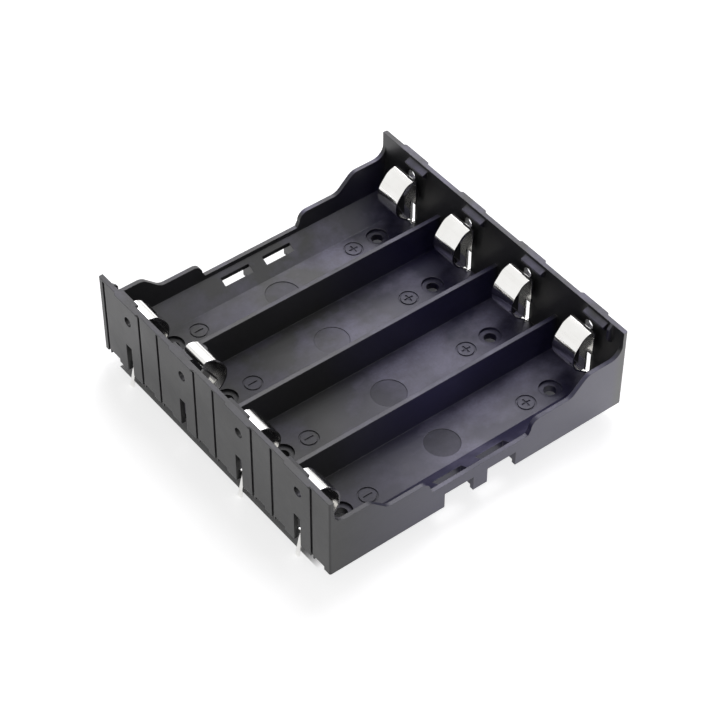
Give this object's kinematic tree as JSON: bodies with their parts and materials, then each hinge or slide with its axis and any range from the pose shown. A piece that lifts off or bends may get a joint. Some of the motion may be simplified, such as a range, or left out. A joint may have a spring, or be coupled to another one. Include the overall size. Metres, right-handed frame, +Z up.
{
  "type": "cylindrical cell holder",
  "caption": "Open-topped moulded holder with side-by-side bays for cylindrical cells, bent spring contacts with solder pins, and screw holes through the floor.",
  "frame": {"origin": "middle of the tray's flat underside, at the centre of the outer four screw holes", "axes": "+X along the cells from the minus end to the plus end, +Y across the bays, +Z up out of the open top"},
  "size_m": [0.0778, 0.08, 0.025],
  "materials": {
    "moulding": "fine satin moulded texture",
    "contact_plating": "bright nickel plate over spring steel"
  },
  "bodies": {
    "root": {"tray": "moulding", "minus_contact_1": "contact_plating", "minus_contact_2": "contact_plating", "minus_contact_3": "contact_plating", "minus_contact_4": "contact_plating", "plus_contact_1": "contact_plating", "plus_contact_2": "contact_plating", "plus_contact_3": "contact_plating", "plus_contact_4": "contact_plating"}
  },
  "joints": []
}
